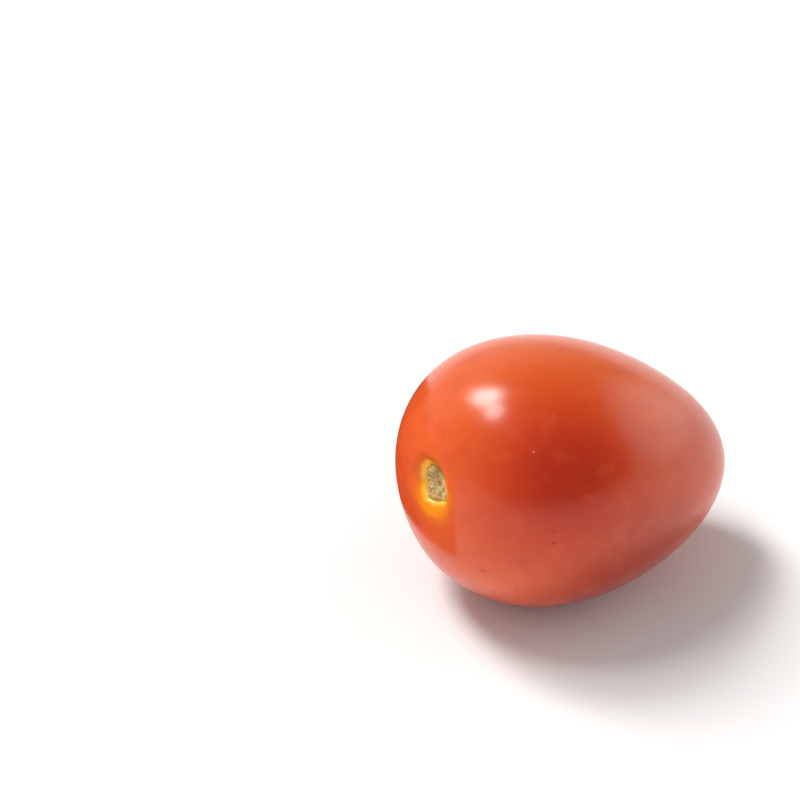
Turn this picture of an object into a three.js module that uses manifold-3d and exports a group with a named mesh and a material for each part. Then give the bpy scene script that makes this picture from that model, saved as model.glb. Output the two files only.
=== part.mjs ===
import * as THREE from 'three';
import { mergeVertices } from 'three/addons/utils/BufferGeometryUtils.js';
import Module from 'manifold-3d';

// A ripe plum tomato, picked without its stalk and lying on its side. It grew as one piece, so it
// is one solid. Millimetres, +Z up, with the broad stem end toward -X and the narrower blossom end
// toward +X. The origin is on the surface that it lies on, under the middle of its box.

// Driving dimensions
const FRUIT_LENGTH = 63.7; // from pole to pole, before the stem end is dimpled
const GIRTH_RADIUS = 24.4; // half way between the poles
const TAPER = 0.24; // how much fuller the stem half is than the blossom half
const TAPER_EASE = -0.035; // eases the taper close to the two poles
const STEM_BLUNTNESS = 0.12; // 0 is a round stem end, higher is a flatter one
const OVAL = 0.025; // wider sideways and lower by this share of the radius
const BOW = -0.6; // the fruit's middle hangs below the line between its poles
const STEM_RISE = 13; // degrees that the stem end is tipped up when the fruit lies at rest

const STEM_OFFSET = -5.6; // the stem scar sits to the -Y side of the fruit's axis
const STEM_LIFT = 1.2; // and above it
const STEM_TILT_SIDE = 0.2; // and the stem end faces a little to that side, as a slope
const STEM_TILT_DOWN = 0.1; // and a little downward
const STEM_END_RADIUS = 12; // how far round the scar this uneven growth reaches

const DIMPLE_DEPTH = 3; // the stem end's hollow
const DIMPLE_RADIUS = 4.15;
const DIMPLE_WALL = 3.75; // higher is a flatter floor with a steeper wall
const SCAR_RADIUS = 3.1; // the corky scar on the hollow's floor, where the stalk broke off
const SCAR_RISE = 0.35;
const SCAR_EDGE = 0.8; // width of the scar's sloping edge
const BLOSSOM_POINT_HEIGHT = 0.45; // the dry point left by the flower
const BLOSSOM_POINT_RADIUS = 1.3;

const FLAT_DEPTH = 0.4; // how much the soft fruit is flattened where it lies

const ROUND_STEPS = 64; // faces round the fruit
const LENGTH_STEPS = 60; // rows of faces from pole to pole
const STEM_CROWDING = 4; // how much closer together the rows are at the stem end

const wasm = await Module();
wasm.setup();

function dimpleAt(radius) {
  return DIMPLE_DEPTH * Math.exp(-((radius / DIMPLE_RADIUS) ** DIMPLE_WALL));
}

function scarAt(radius) {
  const outer = SCAR_RADIUS + SCAR_EDGE / 2;
  const inner = SCAR_RADIUS - SCAR_EDGE / 2;
  return SCAR_RISE * (1 - THREE.MathUtils.smoothstep(radius, inner, outer));
}

function blossomPointAt(radius) {
  return BLOSSOM_POINT_HEIGHT * Math.exp(-((radius / BLOSSOM_POINT_RADIUS) ** 2));
}

// The radius at an angle round the fruit's long section, from 0 at the stem pole to PI at the
// blossom pole: an ellipse, tapered toward the blossom end and blunted toward the stem end.
function radiusAt(angle) {
  const c = Math.cos(angle);
  const blunt = 1 - STEM_BLUNTNESS * ((1 + c) / 2) ** 2;
  const taper = 1 + TAPER * c + TAPER_EASE * c ** 3;
  return GIRTH_RADIUS * Math.max(0, Math.sin(angle)) ** blunt * taper;
}

// One point of the outline that the fruit is turned from, on the axis at both poles.
function outlinePoint(step) {
  const v = step / LENGTH_STEPS;
  const angle = (Math.PI * v) / (v + STEM_CROWDING * (1 - v) ** 2);
  const onAxis = step === 0 || step === LENGTH_STEPS;
  const radius = onAxis ? 0 : radiusAt(angle);
  const along = -(FRUIT_LENGTH / 2) * Math.cos(angle);
  const isStemHalf = angle < Math.PI / 2;
  const relief = isStemHalf ? dimpleAt(radius) - scarAt(radius) : blossomPointAt(radius);
  return new THREE.Vector2(radius, along + relief);
}

// How strongly the uneven stem end shows at a place: 1 at the stem pole, fading to 0 away from it.
function stemEndShare(radius, s) {
  return Math.exp(-((radius / STEM_END_RADIUS) ** 2)) * Math.max(0, -s) ** 2;
}

// Moves a turned point, whose axis is Y, to the fruit's own axes: X from stem to blossom, Y
// sideways and Z up. The fruit becomes oval and bowed, with its stem end to one side.
function shapePoint(point) {
  const s = (2 * point.y) / FRUIT_LENGTH;
  const share = stemEndShare(Math.hypot(point.x, point.z), s);
  const side = point.z * (1 + OVAL);
  const up = point.x * (1 - OVAL);
  const tilt = STEM_TILT_SIDE * side + STEM_TILT_DOWN * up;
  return point.set(
    point.y - share * tilt,
    side + share * STEM_OFFSET,
    up + share * STEM_LIFT + BOW * (1 - s ** 2),
  );
}

function turnedFruit() {
  const outline = Array.from({ length: LENGTH_STEPS + 1 }, (_, step) => outlinePoint(step));
  const fruit = new THREE.LatheGeometry(outline, ROUND_STEPS);
  const positions = fruit.getAttribute('position');
  const point = new THREE.Vector3();
  for (let i = 0; i < positions.count; i += 1) {
    shapePoint(point.fromBufferAttribute(positions, i));
    positions.setXYZ(i, point.x, point.y, point.z);
  }
  return fruit.rotateY(THREE.MathUtils.degToRad(STEM_RISE));
}

function toSolid(geometry) {
  geometry.deleteAttribute('normal');
  geometry.deleteAttribute('uv');
  const merged = mergeVertices(geometry);
  const corners = merged.index.array;
  const triVerts = [];
  for (let i = 0; i < corners.length; i += 3) {
    const triangle = [corners[i], corners[i + 1], corners[i + 2]];
    const hasArea = new Set(triangle).size === 3;
    if (hasArea) triVerts.push(...triangle);
  }
  return new wasm.Manifold(new wasm.Mesh({
    numProp: 3,
    vertProperties: new Float32Array(merged.getAttribute('position').array),
    triVerts: new Uint32Array(triVerts),
  }));
}

function toGeometry(solid) {
  const mesh = solid.getMesh();
  const geometry = new THREE.BufferGeometry();
  geometry.setAttribute('position', new THREE.BufferAttribute(mesh.vertProperties, mesh.numProp));
  geometry.setIndex(new THREE.BufferAttribute(mesh.triVerts, 1));
  geometry.computeVertexNormals();
  return geometry;
}

// The surface that the fruit lies on, as a block that reaches just into its lowest part.
function floorBlock(fruit) {
  const side = 2 * FRUIT_LENGTH;
  const block = new THREE.BoxGeometry(side, side, side);
  fruit.computeBoundingBox();
  return block.translate(0, 0, fruit.boundingBox.min.z + FLAT_DEPTH - side / 2);
}

function tomatoGeometry() {
  const fruit = turnedFruit();
  const lying = toGeometry(toSolid(fruit).subtract(toSolid(floorBlock(fruit))));
  lying.computeBoundingBox();
  const box = lying.boundingBox;
  const middle = box.getCenter(new THREE.Vector3());
  return lying.translate(-middle.x, -middle.y, -box.min.z);
}

const ripeSkin = new THREE.MeshStandardMaterial({
  color: 0xd8412a,
  roughness: 0.28,
  metalness: 0,
});

const tomato = new THREE.Mesh(tomatoGeometry(), ripeSkin);
tomato.name = 'tomato';

const part = new THREE.Group();
part.add(tomato);

export default part;
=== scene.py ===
import math

import bpy
import numpy as np
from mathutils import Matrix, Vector, noise


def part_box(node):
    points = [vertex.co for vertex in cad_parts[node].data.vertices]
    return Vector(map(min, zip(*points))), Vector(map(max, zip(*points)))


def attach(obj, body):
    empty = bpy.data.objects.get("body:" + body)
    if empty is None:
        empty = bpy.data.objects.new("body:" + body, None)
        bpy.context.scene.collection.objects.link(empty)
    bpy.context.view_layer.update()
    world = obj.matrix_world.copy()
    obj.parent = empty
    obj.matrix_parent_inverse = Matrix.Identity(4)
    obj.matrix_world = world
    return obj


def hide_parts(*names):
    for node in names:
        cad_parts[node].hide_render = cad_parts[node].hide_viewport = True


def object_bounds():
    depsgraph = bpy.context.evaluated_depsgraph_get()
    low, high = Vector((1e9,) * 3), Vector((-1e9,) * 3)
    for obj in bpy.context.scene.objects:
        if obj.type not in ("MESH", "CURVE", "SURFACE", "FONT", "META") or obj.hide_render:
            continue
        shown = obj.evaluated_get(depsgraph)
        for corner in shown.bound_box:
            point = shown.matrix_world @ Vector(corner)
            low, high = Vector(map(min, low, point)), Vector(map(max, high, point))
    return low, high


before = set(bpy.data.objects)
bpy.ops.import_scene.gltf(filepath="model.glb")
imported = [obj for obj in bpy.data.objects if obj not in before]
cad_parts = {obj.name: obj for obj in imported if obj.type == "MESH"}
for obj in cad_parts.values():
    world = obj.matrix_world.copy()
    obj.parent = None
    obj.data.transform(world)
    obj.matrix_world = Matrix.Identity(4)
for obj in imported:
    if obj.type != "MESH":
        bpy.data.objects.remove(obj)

cad_box = [list(corner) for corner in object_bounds()]


# The tomato. A ripe plum tomato, picked without its stalk: one fruit of soft flesh under a thin
# waxy skin. It grew as one piece, so it is one closed mesh. First its form, in millimetres, along
# the fruit's own axis: X from the stem end to the blossom end, Y sideways and Z up.
MM = 0.001
FRUIT_LENGTH = 63.7
GIRTH_RADIUS = 24.4
TAPER = 0.24
TAPER_EASE = -0.035
STEM_BLUNTNESS = 0.12
OVAL = 0.025
BOW = -0.6
STEM_RISE = math.radians(13)
FLAT_DEPTH = 0.4

STEM_OFFSET = -5.6
STEM_LIFT = 1.2
STEM_TILT_SIDE = 0.2
STEM_TILT_DOWN = 0.1
STEM_END_RADIUS = 12


def bump_at(distance, middle, width):
    """A smooth round swelling: 1 at the middle, fading to 0 over about the width."""
    return np.exp(-(((distance - middle) / width) ** 2))


def blend(low, high, value):
    """0 below low, 1 above high, with an easy curve between."""
    share = np.clip((value - low) / (high - low), 0, 1)
    return share * share * (3 - 2 * share)


def fruit_radius(angle):
    c = np.cos(angle)
    blunt = 1 - STEM_BLUNTNESS * ((1 + c) / 2) ** 2
    taper = 1 + TAPER * c + TAPER_EASE * c**3
    return GIRTH_RADIUS * np.maximum(0, np.sin(angle)) ** blunt * taper


def swell(angle, turn):
    """The slow unevenness of a grown fruit, over its three seed chambers and along its sides."""
    chambers = 0.16 * np.cos(3 * turn + 0.5) * np.sin(angle) ** 2
    sides = 0.10 * np.cos(2 * turn + 1.9) * np.sin(2 * angle)
    dents = 0.05 * np.cos(5 * turn + 4 * angle) * np.sin(angle) ** 2
    return chambers + sides + dents


# The stem end's hollow. Its lip is drawn in a little unevenly, and faint furrows run out from it
# over the shoulders, where the skin was stretched as the fruit filled.
DIMPLE_DEPTH = 3.0
DIMPLE_RADIUS = 4.15
DIMPLE_WALL = 3.75


def hollow(radius, turn):
    lip = DIMPLE_RADIUS * (1 + 0.03 * np.cos(3 * turn + 0.8) + 0.02 * np.cos(5 * turn + 2.1))
    dip = DIMPLE_DEPTH * np.exp(-((radius / lip) ** DIMPLE_WALL))
    furrows = 0.022 * np.cos(9 * turn + 1.5 * np.cos(2 * turn)) + 0.01 * np.cos(17 * turn + 0.7)
    return dip + furrows * bump_at(radius, 5.6, 1.8)


# The stem scar: a disc of dry cork where the stalk broke off. It has an uneven outline with a
# groove round it, a raised rim, short ridges that point to the middle, and the hollow end of the
# stalk's core.
SCAR_RADIUS = 3.1
SCAR_RISE = 0.35


def scar_outline(turn):
    lobes = 0.07 * np.cos(3 * turn - 2.6)
    nicks = 0.03 * np.cos(5 * turn + 0.4) + 0.02 * np.cos(11 * turn + 2)
    return SCAR_RADIUS * (1 + lobes + nicks)


def cork(radius, turn):
    edge = scar_outline(turn)
    disc = SCAR_RISE * (1 - blend(-0.3, 0.3, radius - edge))
    rim = 0.14 * bump_at(radius, edge - 0.32, 0.24)
    groove = -0.2 * bump_at(radius, edge + 0.3, 0.18)
    ridges = 0.08 * np.cos(19 * turn + 2 * np.cos(3 * turn)) * bump_at(radius, 1.95, 0.7)
    core = 0.2 * bump_at(radius, 0.9, 0.28) - 0.35 * bump_at(radius, 0, 0.48)
    return disc + rim + groove + ridges + core


def cork_grain(radius, turn):
    """Crumbs and pits in the dry cork, from about 1 mm down to 0.3 mm across."""
    x, y = radius * np.cos(turn), radius * np.sin(turn)
    inside = 1 - blend(-0.2, 0.4, radius - scar_outline(turn))
    grain = np.zeros_like(radius)
    for row, column in np.argwhere(inside > 0):
        place = Vector((x[row, column], y[row, column], 0))
        grain[row, column] = 0.12 * noise.noise(place * 1.6) + 0.09 * noise.noise(place * 4.1)
    return grain * inside


# The blossom end: the small dry point that the flower left when it dropped off. The skin is drawn
# in round it in little puckers.
BLOSSOM_POINT_HEIGHT = 0.45
BLOSSOM_POINT_RADIUS = 1.3


def blossom_point(radius, turn):
    point = BLOSSOM_POINT_HEIGHT * bump_at(radius, 0, BLOSSOM_POINT_RADIUS)
    pit = -0.22 * bump_at(radius, 0, 0.35)
    dip = -0.10 * bump_at(radius, 2.4, 1.1)
    pucker = 0.03 * np.cos(8 * turn) * bump_at(radius, 1.5, 0.7)
    return point + pit + dip + pucker


# The whole surface, as rows of points from pole to pole, joined to one closed mesh. Each point also
# knows how far it is from the scar's edge and from the two poles, which the skin's colours follow.
ROWS = 320
COLUMNS = 288
FAR = 50.0  # for a distance that has no meaning at that end of the fruit
HALO_LEAN = 0.27  # the yellow ring reaches further on one side of the scar
HALO_LEAN_TURN = math.radians(215)
FLAT_EDGE = 0.12  # how softly the skin curves up from the flat spot that it lies on


def angle_at(step):
    """The angle from the stem pole. Rows crowd at both poles, most of all over the scar."""
    from_stem, from_blossom = step**2.2, (1 - step) ** 1.5
    return math.pi * from_stem / (from_stem + from_blossom)


def fruit_points(step, turn):
    angle = angle_at(step)
    radius = np.maximum(0, fruit_radius(angle) + swell(angle, turn))
    radius = np.where((step == 0) | (step == 1), 0, radius)
    stem_side = angle < math.pi / 2
    stem_relief = hollow(radius, turn) - cork(radius, turn) - cork_grain(radius, turn)
    relief = np.where(stem_side, stem_relief, blossom_point(radius, turn))
    along = -FRUIT_LENGTH / 2 * np.cos(angle) + relief

    s = 2 * along / FRUIT_LENGTH
    share = np.exp(-((radius / STEM_END_RADIUS) ** 2)) * np.maximum(0, -s) ** 2
    side = radius * np.cos(turn) * (1 + OVAL)
    up = radius * np.sin(turn) * (1 - OVAL)
    x = along - share * (STEM_TILT_SIDE * side + STEM_TILT_DOWN * up)
    y = side + share * STEM_OFFSET
    z = up + share * STEM_LIFT + BOW * (1 - s**2)
    tipped_x = x * math.cos(STEM_RISE) + z * math.sin(STEM_RISE)
    tipped_z = z * math.cos(STEM_RISE) - x * math.sin(STEM_RISE)

    halo_reach = radius * (1 - HALO_LEAN * np.cos(turn - HALO_LEAN_TURN))
    guides = {
        "cork_gap": np.where(stem_side, radius - scar_outline(turn), FAR),
        "halo_reach": np.where(stem_side, halo_reach, FAR),
        "blossom_reach": np.where(stem_side, FAR, radius),
    }
    return np.stack([tipped_x, y, tipped_z], axis=-1), guides


def settle(points):
    """Sets the fruit down where the frame has it, with its lowest part flattened on the floor."""
    low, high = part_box("tomato")
    places = points * MM
    middle = (places.reshape(-1, 3).min(axis=0) + places.reshape(-1, 3).max(axis=0)) / 2
    places[..., 0] += (low[0] + high[0]) / 2 - middle[0]
    places[..., 1] += (low[1] + high[1]) / 2 - middle[1]
    places[..., 2] += low[2] - places[..., 2].min() - FLAT_DEPTH * MM
    lift = places[..., 2] - low[2]
    places[..., 2] = low[2] + (lift + np.sqrt(lift**2 + (FLAT_EDGE * MM) ** 2)) / 2
    places[..., 2] -= places[..., 2].min() - low[2]
    return places


# The flat map that the skin's finish is laid out on: a large disc for the stem end, a small disc
# for the blossom end and a band between them for the sides.
STEM_DISC = {"middle": (0.2, 0.2), "radius": 0.19, "reach": 10.0}
BLOSSOM_DISC = {"middle": (0.52, 0.12), "radius": 0.11, "reach": 6.0}
BAND_LOW, BAND_HIGH = 0.405, 0.995
BAND_LEFT, BAND_WIDTH = 0.003, 0.994
MARGIN = 1.02  # keeps a disc's outermost faces clear of its edge


def on_disc(disc, distance, column):
    turn = 2 * math.pi * column / COLUMNS
    size = disc["radius"] * distance / (disc["reach"] * MARGIN)
    return disc["middle"][0] + size * math.cos(turn), disc["middle"][1] + size * math.sin(turn)


def on_band(share, column):
    return BAND_LEFT + BAND_WIDTH * column / COLUMNS, BAND_LOW + (BAND_HIGH - BAND_LOW) * share


def point_number(row, column):
    """A point's number in the mesh: the stem pole first, then row by row to the blossom pole."""
    if row == 0:
        return 0
    if row == ROWS:
        return 1 + (ROWS - 1) * COLUMNS
    return 1 + (row - 1) * COLUMNS + column % COLUMNS


def skin_faces(lengths):
    """The faces of each row, and each corner's place on the flat map. lengths are the rows'
    distances from the stem pole, in millimetres over the skin."""
    total = lengths[-1]
    band = total - STEM_DISC["reach"] - BLOSSOM_DISC["reach"]
    faces, flat = [], []
    for row in range(ROWS):
        middle = (lengths[row] + lengths[row + 1]) / 2
        for column in range(COLUMNS):
            corners = [(row, column), (row, column + 1), (row + 1, column + 1), (row + 1, column)]
            if row == 0:
                corners.pop(1)
            if row == ROWS - 1:
                corners.pop(2)
            faces.append([point_number(r, c) for r, c in corners])
            for r, c in corners:
                if middle < STEM_DISC["reach"]:
                    flat.append(on_disc(STEM_DISC, lengths[r], c))
                elif total - middle < BLOSSOM_DISC["reach"]:
                    flat.append(on_disc(BLOSSOM_DISC, total - lengths[r], c))
                else:
                    flat.append(on_band((lengths[r] - STEM_DISC["reach"]) / band, c))
    return faces, flat


def in_order(grid):
    """A grid's values in the order of the mesh's points: one for each pole, and the rows between."""
    rows = grid[1:-1].reshape(-1, *grid.shape[2:])
    return np.concatenate([grid[0, :1], rows, grid[-1, :1]])


def put(name, data):
    """Puts a mesh, a lamp or a camera in the scene."""
    item = bpy.data.objects.new(name, data)
    bpy.context.collection.objects.link(item)
    return item


steps = np.linspace(0, 1, ROWS + 1)
turns = np.linspace(0, 2 * math.pi, COLUMNS, endpoint=False)
fruit_form, skin_guides = fruit_points(*np.meshgrid(steps, turns, indexing="ij"))
skin_places = settle(fruit_form)
row_gaps = np.linalg.norm(np.diff(fruit_form[:, 0], axis=0), axis=1)
faces, flat_map = skin_faces(np.concatenate([[0], np.cumsum(row_gaps)]))

skin_mesh = bpy.data.meshes.new("tomato_skin")
skin_mesh.from_pydata(in_order(skin_places).tolist(), [], faces)
skin_mesh.uv_layers.new(name="OFBake").data.foreach_set("uv", np.array(flat_map).ravel())
for name, grid in skin_guides.items():
    skin_mesh.attributes.new(name, "FLOAT", "POINT").data.foreach_set("value", in_order(grid))
skin_mesh.shade_smooth()

tomato = put("plum_tomato_skin", skin_mesh)
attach(tomato, "root")
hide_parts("tomato")


# Its finish is the fruit's own, apart from painted light and shade: ripe red cells under a clear
# waxy cuticle, smooth and softly glossy. The colour goes from yellow in the stem hollow, the last
# part to ripen, through orange to red. Painted shade deepens the red low down, on the underside
# and in a patch on the front where the skin reflects the dim room. Painted light makes the yellow
# on the hollow's shaded wall paler.
def linear(hex_colour):
    """An sRGB hex colour as linear red, green, blue and alpha."""
    parts = [int(hex_colour[i : i + 2], 16) / 255 for i in (1, 3, 5)]
    eased = [c / 12.92 if c <= 0.04045 else ((c + 0.055) / 1.055) ** 2.4 for c in parts]
    return (*eased, 1)


def add(tree, kind, inputs=None, out=0, **settings):
    """Adds a node with its settings, sets or links its inputs, and gives one of its outputs."""
    node = tree.nodes.new(kind)
    for name, value in settings.items():
        setattr(node, name, value)
    for socket, value in (inputs or {}).items():
        if isinstance(value, bpy.types.NodeSocket):
            tree.links.new(value, node.inputs[socket])
        else:
            node.inputs[socket].default_value = value
    return node.outputs[out]


def paint(tree, under, over, value, low, high, most=1.0):
    """Lays one colour over another, from not at all where the value is low to most where high."""
    share = add(
        tree,
        "ShaderNodeMapRange",
        {"Value": value, "From Min": low, "From Max": high, "To Max": most},
        interpolation_type="SMOOTHSTEP",
    )
    low_colour, high_colour = [linear(c) if isinstance(c, str) else c for c in (under, over)]
    # a colour Mix node has its two colours on inputs 6 and 7, and its result on output 2
    inputs = {"Factor": share, 6: low_colour, 7: high_colour}
    return add(tree, "ShaderNodeMix", inputs, 2, data_type="RGBA")


def skin_spot(from_stem, turn):
    """A place on the skin, by its degrees from the stem pole and its degrees round the fruit."""
    row = np.argmin(np.abs(angle_at(steps) - math.radians(from_stem)))
    column = round(COLUMNS * turn / 360) % COLUMNS
    return Vector(skin_places[row, column])


STEM_POLE = skin_spot(0, 0)
# the middle of a patch of painted shade on the front, where the skin reflects the dim room
FRONT_SHADE_SPOT = skin_spot(62, 148)
# the middle of a patch of painted shade on the underside, near the floor
UNDERSIDE_SHADE_SPOT = skin_spot(98, 207)
OVER_SCAR = skin_spot(7, 95)


def ripe_colour(tree, place):
    """Orange-red all over, with broad deeper and paler places, faint streaks lengthwise, and painted
    shade low down, on the underside and in a patch on the front.
    """
    from_stem = add(tree, "ShaderNodeVectorMath", {0: place, 1: STEM_POLE}, 1, operation="DISTANCE")
    near_front_shade = add(
        tree, "ShaderNodeVectorMath", {0: place, 1: FRONT_SHADE_SPOT}, 1, operation="DISTANCE"
    )
    near_underside_shade = add(
        tree, "ShaderNodeVectorMath", {0: place, 1: UNDERSIDE_SHADE_SPOT}, 1, operation="DISTANCE"
    )
    height = add(tree, "ShaderNodeSeparateXYZ", {0: place}, "Z")
    broad = add(tree, "ShaderNodeTexNoise", {"Vector": place, "Scale": 1 / (15 * MM), "Detail": 2})
    uneven = add(tree, "ShaderNodeTexNoise", {"Vector": place, "Scale": 1 / (4 * MM), "Detail": 4})
    lengthwise = add(
        tree, "ShaderNodeVectorMath", {0: place, 1: (0.15, 1, 1)}, operation="MULTIPLY"
    )
    streaks = add(
        tree, "ShaderNodeTexNoise", {"Vector": lengthwise, "Scale": 1 / (3.5 * MM), "Detail": 3}
    )
    colour = paint(tree, "#D95223", "#EA5D29", from_stem, 28 * MM, 8 * MM)
    colour = paint(tree, colour, "#E2632A", height, 30 * MM, 47 * MM, 0.8)
    # painted shade: a deeper red low down, towards the floor
    colour = paint(tree, colour, "#A42B12", height, 17 * MM, 6 * MM, 0.7)
    colour = paint(tree, colour, "#E0612E", broad, 0.42, 0.68, 0.4)
    colour = paint(tree, colour, "#C43A17", broad, 0.5, 0.3, 0.3)
    colour = paint(tree, colour, "#C8401C", streaks, 0.48, 0.72, 0.3)
    # painted shade: a deeper red patch on the front, where the skin reflects the dim room and not
    # the lights
    colour = paint(tree, colour, "#D03E19", near_front_shade, 25 * MM, 8 * MM, 0.9)
    colour = paint(tree, colour, "#BC2D12", near_front_shade, 13 * MM, 3 * MM, 0.9)
    # painted shade: a deeper red on the underside, near the floor
    colour = paint(tree, colour, "#A22912", near_underside_shade, 25 * MM, 6 * MM, 0.85)
    colour = paint(tree, colour, "#E2683A", uneven, 0.5, 0.75, 0.22)
    # tiny golden flecks, about 0.3 mm across and 1.5 mm apart
    flecks = add(
        tree, "ShaderNodeTexVoronoi", {"Vector": place, "Scale": 1 / (1.5 * MM)}, "Distance"
    )
    return paint(tree, colour, "#EA7C42", flecks, 0.13, 0.06, 0.18)


def stem_ring(tree, skin, gap, place):
    """The ring round the scar that ripens last: yellow on the hollow's wall, made paler there as
    painted light on the shaded wall, and orange outside it.
    """
    reach = add(tree, "ShaderNodeAttribute", out="Fac", attribute_name="halo_reach")
    over_scar = add(tree, "ShaderNodeVectorMath", {0: place, 1: OVER_SCAR}, 1, operation="DISTANCE")
    ragged = add(tree, "ShaderNodeTexNoise", {"Vector": place, "Scale": 1 / (2 * MM), "Detail": 3})
    reach = add(tree, "ShaderNodeMath", {0: ragged, 1: 1.2, 2: reach}, operation="MULTIPLY_ADD")
    colour = paint(tree, skin, "#E85E2A", reach, 9.5, 7.2, 0.9)
    colour = paint(tree, colour, "#EC6E20", reach, 7.4, 6.0)
    colour = paint(tree, colour, "#F28A14", reach, 6.1, 4.9)
    # yellow where the skin ripens last, paler towards the scar as painted light on the hollow's
    # shaded wall
    colour = paint(tree, colour, "#FFC044", gap, 1.35, 0.6)
    colour = paint(tree, colour, "#FCD584", reach, 3.4, 2.8)
    return paint(tree, colour, "#D8681E", over_scar, 3.2 * MM, 1.2 * MM, 0.75)


def cork_colour(tree, skin, gap, place):
    """Dry tan cork with cream crumbs and dark pits, in a thin dark olive line that is partly the
    cork's own edge and partly painted shade in the groove round it.
    """
    patches = add(
        tree,
        "ShaderNodeTexNoise",
        {"Vector": place, "Scale": 1 / (1.6 * MM), "Detail": 4, "Roughness": 0.65},
    )
    crumbs = add(tree, "ShaderNodeTexNoise", {"Vector": place, "Scale": 1 / (0.7 * MM), "Detail": 3})
    tan = paint(tree, "#C8A76C", "#8D7644", patches, 0.5, 0.32)
    tan = paint(tree, tan, "#E3C592", patches, 0.5, 0.62)
    tan = paint(tree, tan, "#FBEBC4", crumbs, 0.6, 0.7, 0.9)
    colour = paint(tree, skin, tan, gap, 0.12, -0.12)
    # a thin dark olive line in the groove round the cork: partly its own colour, partly painted
    # shade in the groove
    from_line = add(tree, "ShaderNodeMath", {0: gap, 1: 0.16}, operation="SUBTRACT")
    from_line = add(tree, "ShaderNodeMath", {0: from_line}, operation="ABSOLUTE")
    return paint(tree, colour, "#8A741E", from_line, 0.2, 0.05, 0.6)


# Marks of growing and handling: (degrees from the stem pole, degrees round, size in mm, strength).
DARK_SPECKS = [
    (58, 172, 0.42, 0.55),
    (59, 178, 0.50, 0.65),
    (40, 210, 0.60, 0.45),
    (40, 226, 0.80, 0.30),
    (51, 191, 0.90, 0.20),
    (55, 212, 0.90, 0.30),
    (118, 260, 0.50, 0.50),
    (84, 62, 0.60, 0.40),
    (66, 30, 0.45, 0.50),
    (102, 330, 0.70, 0.40),
]
PALE_SPECKS = [(51, 136, 0.35, 0.6), (74, 88, 0.3, 0.5), (100, 20, 0.35, 0.5), (60, 300, 0.4, 0.5)]


def speckled(tree, colour, place):
    for specks, speck_colour in ((DARK_SPECKS, "#6E2412"), (PALE_SPECKS, "#F0A078")):
        for from_stem, turn, size, strength in specks:
            spot = skin_spot(from_stem, turn)
            distance = add(
                tree, "ShaderNodeVectorMath", {0: place, 1: spot}, 1, operation="DISTANCE"
            )
            edge, heart = size * MM, 0.1 * size * MM
            colour = paint(tree, colour, speck_colour, distance, edge, heart, strength)
    return colour


def ripe_tomato_skin():
    """Skin under plant wax, whose IOR is about 1.45: it is smooth, so it shows a clear highlight
    with a soft edge. Light that enters the flesh comes out redder. The dry cork has no gloss."""
    material = bpy.data.materials.new("ripe_tomato_skin")
    material.use_nodes = True
    tree = material.node_tree
    tree.nodes.clear()
    place = add(tree, "ShaderNodeTexCoord", out="Object")
    gap = add(tree, "ShaderNodeAttribute", out="Fac", attribute_name="cork_gap")
    blossom = add(tree, "ShaderNodeAttribute", out="Fac", attribute_name="blossom_reach")

    colour = speckled(tree, ripe_colour(tree, place), place)
    colour = stem_ring(tree, colour, gap, place)
    colour = cork_colour(tree, colour, gap, place)
    colour = paint(tree, colour, "#B98A4C", blossom, 1.3, 0.7)
    colour = paint(tree, colour, "#5B3418", blossom, 0.5, 0.25)

    waxy = add(tree, "ShaderNodeTexNoise", {"Vector": place, "Scale": 1 / (6 * MM), "Detail": 3})
    roughness = add(
        tree,
        "ShaderNodeMapRange",
        {"Value": waxy, "From Min": 0.3, "From Max": 0.7, "To Min": 0.19, "To Max": 0.25},
    )
    roughness = add(
        tree,
        "ShaderNodeMapRange",
        {"Value": gap, "From Min": 0.12, "From Max": -0.12, "To Min": roughness, "To Max": 0.85},
    )

    # grains of about 0.4 mm roughen the cork, and stop at its edge
    grain = add(
        tree,
        "ShaderNodeTexNoise",
        {"Vector": place, "Scale": 1 / (0.4 * MM), "Detail": 4, "Roughness": 0.7},
    )
    grain_depth = add(
        tree,
        "ShaderNodeMapRange",
        {"Value": gap, "From Min": 0.12, "From Max": -0.12, "To Max": grain},
    )
    relief = add(
        tree, "ShaderNodeBump", {"Strength": 0.6, "Distance": 0.2 * MM, "Height": grain_depth}
    )
    # cells and wax make the skin faintly uneven, a few millimetres from one rise to the next
    cells = add(tree, "ShaderNodeTexNoise", {"Vector": place, "Scale": 1 / (2.4 * MM), "Detail": 2})
    relief = add(
        tree,
        "ShaderNodeBump",
        {"Strength": 0.25, "Distance": 0.03 * MM, "Height": cells, "Normal": relief},
    )

    surface = add(
        tree,
        "ShaderNodeBsdfPrincipled",
        {
            "Base Color": colour,
            "Roughness": roughness,
            "Normal": relief,
            "IOR": 1.45,
            "Subsurface Weight": 0.2,
            "Subsurface Radius": (1.0, 0.22, 0.08),
            "Subsurface Scale": 1.5 * MM,
        },
    )
    output = tree.nodes.new("ShaderNodeOutputMaterial")
    tree.links.new(surface, output.inputs["Surface"])
    return material


skin_mesh.materials.append(ripe_tomato_skin())


# The table top: a board faced with white laminate that was pressed matt, so it shows as an even
# pale floor without gloss. It runs out of sight.
TABLE_HALF = 4.0


def matt_sheet(name, hex_colour, roughness):
    """One even colour with next to no gloss, all over a sheet."""
    material = bpy.data.materials.new(name)
    material.use_nodes = True
    shader = material.node_tree.nodes["Principled BSDF"]
    shader.inputs["Base Color"].default_value = linear(hex_colour)
    shader.inputs["Roughness"].default_value = roughness
    return material


def table_top():
    mesh = bpy.data.meshes.new("table_top")
    ends = ((-1, -1), (1, -1), (1, 1), (-1, 1))
    mesh.from_pydata([(TABLE_HALF * x, TABLE_HALF * y, 0) for x, y in ends], [], [(0, 1, 2, 3)])
    mesh.materials.append(matt_sheet("white_laminate", "#F7F7F6", 1.0))
    return put("table_top", mesh)


table_top()


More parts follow.
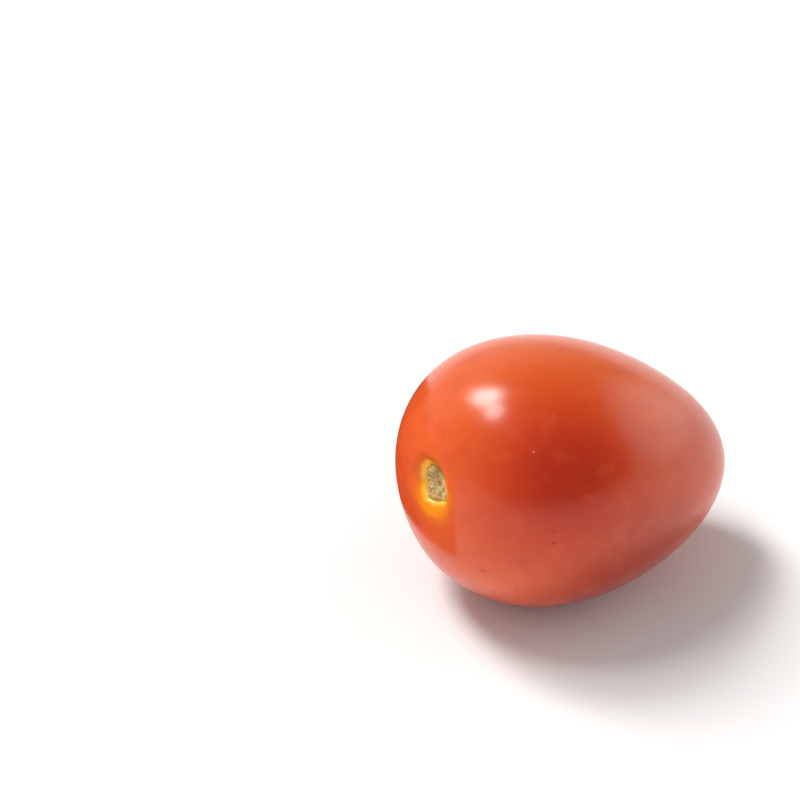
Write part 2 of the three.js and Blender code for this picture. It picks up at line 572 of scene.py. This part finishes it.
# A low curved screen of matt red card round the fruit's left and back, where the fruits that it was
# heaped with would be: it gives the skin a red reflection there in place of white table. It leans
# back from its foot, gets lower behind the fruit, and is out of shot.
SCREEN_HEIGHT = 0.043
SCREEN_HEIGHT_BEHIND = 0.006
SCREEN_GAP_AT_FOOT, SCREEN_GAP_AT_TOP = 0.011, 0.032
SCREEN_POSTS = 32
SCREEN_FROM, SCREEN_TO = -80, -189  # in degrees, as for toward
SCREEN_FALLS_FROM = -142


def toward(azimuth, elevation):
    """The direction from the fruit to a place at that azimuth and elevation, in degrees.
    Azimuth 0 is in front, on the -Y side, and 90 on the +X side."""
    a, e = math.radians(azimuth), math.radians(elevation)
    return Vector((math.sin(a) * math.cos(e), -math.cos(a) * math.cos(e), math.sin(e)))


def red_screen():
    half_length, half_width = cad_box[1][0], cad_box[1][1]
    verts = []
    for post in range(SCREEN_POSTS + 1):
        azimuth = SCREEN_FROM + (SCREEN_TO - SCREEN_FROM) * post / SCREEN_POSTS
        out = toward(azimuth, 0)
        behind = blend(-SCREEN_FALLS_FROM, -SCREEN_TO, -azimuth)
        top = SCREEN_HEIGHT + (SCREEN_HEIGHT_BEHIND - SCREEN_HEIGHT) * behind
        for gap, height in ((SCREEN_GAP_AT_FOOT, 0), (SCREEN_GAP_AT_TOP, top)):
            verts.append((out.x * (half_length + gap), out.y * (half_width + gap), height))
    panels = [(2 * i, 2 * i + 1, 2 * i + 3, 2 * i + 2) for i in range(SCREEN_POSTS)]
    mesh = bpy.data.meshes.new("red_screen")
    mesh.from_pydata(verts, [], panels)
    mesh.materials.append(matt_sheet("red_card", "#B5301A", 0.8))
    screen = put("red_screen", mesh)
    screen.visible_camera = False
    screen.visible_shadow = False
    screen.visible_diffuse = False
    return screen


red_screen()


# The key light: a softbox high on the left behind the fruit. It is brightest in its middle and not
# quite square, so four overlapping soft lamps make it: (azimuth, elevation, radius, brightness),
# the first three in degrees.
SOFTBOX = [
    (-149, 54, 8.5, 16.0),
    (-157, 61, 6.5, 9.0),
    (-124, 63.5, 7.5, 15.0),
    (-152, 45, 6.5, 8.0),
]


def far_lamp(name, azimuth, elevation, radius, light):
    """A round lamp so far off that only its direction and its radius in degrees matter."""
    lamp = bpy.data.lights.new(name, "SUN")
    lamp.angle = math.radians(2 * radius)
    lamp.energy = light * math.pi
    holder = put(name, lamp)
    holder.rotation_euler = toward(azimuth, elevation).to_track_quat("Z", "Y").to_euler()
    return holder


for azimuth, elevation, radius, brightness in SOFTBOX:
    disc_size = math.sin(math.radians(radius)) ** 2
    far_lamp("key_light", azimuth, elevation, radius, brightness * disc_size)


# The fill light: a very broad soft lamp at the front left, low in brightness and kept out of the
# fruit's reflections, so that the side away from the key light stays clear.
FILL_FROM = (-42, 32)
FILL_RADIUS = 70
FILL_LIGHT = 0.4

fill_light = far_lamp("fill_light", *FILL_FROM, FILL_RADIUS, FILL_LIGHT)
fill_light.visible_glossy = False


# The room: dim overhead and in front, with a white card on the right, a pale wall behind and a
# bright strip low down all round. What shows beyond the table is plain white.

# where the light fades with height: 0 is level, and 1 is straight up
WALL_FADES = {"From Min": 0.55, "From Max": 0.78, "To Min": 1.0, "To Max": 0.0}
STRIP_FADES = {"From Min": 0.06, "From Max": 0.2, "To Min": 0.8, "To Max": 0.08}


def studio_room():
    world = bpy.data.worlds.new("studio_room")
    world.use_nodes = True
    tree = world.node_tree
    tree.nodes.clear()
    direction = add(tree, "ShaderNodeTexCoord", out="Generated")
    height = add(tree, "ShaderNodeSeparateXYZ", {0: direction}, "Z")

    def fade(value, limits):
        inputs = {"Value": value, **limits}
        return add(tree, "ShaderNodeMapRange", inputs, interpolation_type="SMOOTHSTEP")

    def glow(azimuth, elevation, core, edge, brightness):
        """A round patch of light, full within the core and gone at the edge, both in degrees."""
        to_patch = {0: direction, 1: toward(azimuth, elevation)}
        facing = add(tree, "ShaderNodeVectorMath", to_patch, 1, operation="DOT_PRODUCT")
        gone_at, full_at = math.cos(math.radians(edge)), math.cos(math.radians(core))
        return fade(facing, {"From Min": gone_at, "From Max": full_at, "To Max": brightness})

    card = glow(azimuth=91, elevation=8, core=12, edge=37, brightness=1.75)
    wall = glow(azimuth=-177, elevation=8, core=25, edge=66, brightness=0.62)
    wall_top = fade(height, WALL_FADES)
    wall = add(tree, "ShaderNodeMath", {0: wall, 1: wall_top}, operation="MULTIPLY")
    strip = fade(height, STRIP_FADES)
    light = add(tree, "ShaderNodeMath", {0: card, 1: wall}, operation="MAXIMUM")
    light = add(tree, "ShaderNodeMath", {0: light, 1: strip}, operation="MAXIMUM")
    seen = add(tree, "ShaderNodeLightPath", out="Is Camera Ray")
    strength = add(tree, "ShaderNodeMix", {"Factor": seen, 2: light, 3: 1.0}, 0, data_type="FLOAT")
    air = add(tree, "ShaderNodeBackground", {"Color": linear("#FFFFFF"), "Strength": strength})
    output = tree.nodes.new("ShaderNodeOutputWorld")
    tree.links.new(air, output.inputs["Surface"])
    bpy.context.scene.world = world


studio_room()


# The camera stands in front, a little to the left, and looks down on the fruit with a long lens.
# It aims beside the fruit, which stands right of the view's middle and a little below it.
CAMERA_AZIMUTH, CAMERA_ELEVATION = -24.2, 35
CAMERA_DISTANCE = 0.42
CAMERA_SENSOR, CAMERA_LENS = 36, 103  # in millimetres
RIGHT_OF_MIDDLE, ABOVE_MIDDLE = 0.0308, -0.0112
FRUIT_MIDDLE = Vector((0, 0, 0.024))


def camera():
    lens = bpy.data.cameras.new("camera")
    lens.sensor_width = CAMERA_SENSOR
    lens.lens = CAMERA_LENS
    holder = put("camera", lens)
    back = toward(CAMERA_AZIMUTH, CAMERA_ELEVATION)
    turn = (-back).to_track_quat("-Z", "Y")
    right, up = turn @ Vector((1, 0, 0)), turn @ Vector((0, 1, 0))
    aim = FRUIT_MIDDLE - right * RIGHT_OF_MIDDLE - up * ABOVE_MIDDLE
    holder.location = aim + back * CAMERA_DISTANCE
    holder.rotation_euler = turn.to_euler()
    bpy.context.scene.camera = holder


camera()
bpy.context.scene.view_settings.view_transform = "Standard"
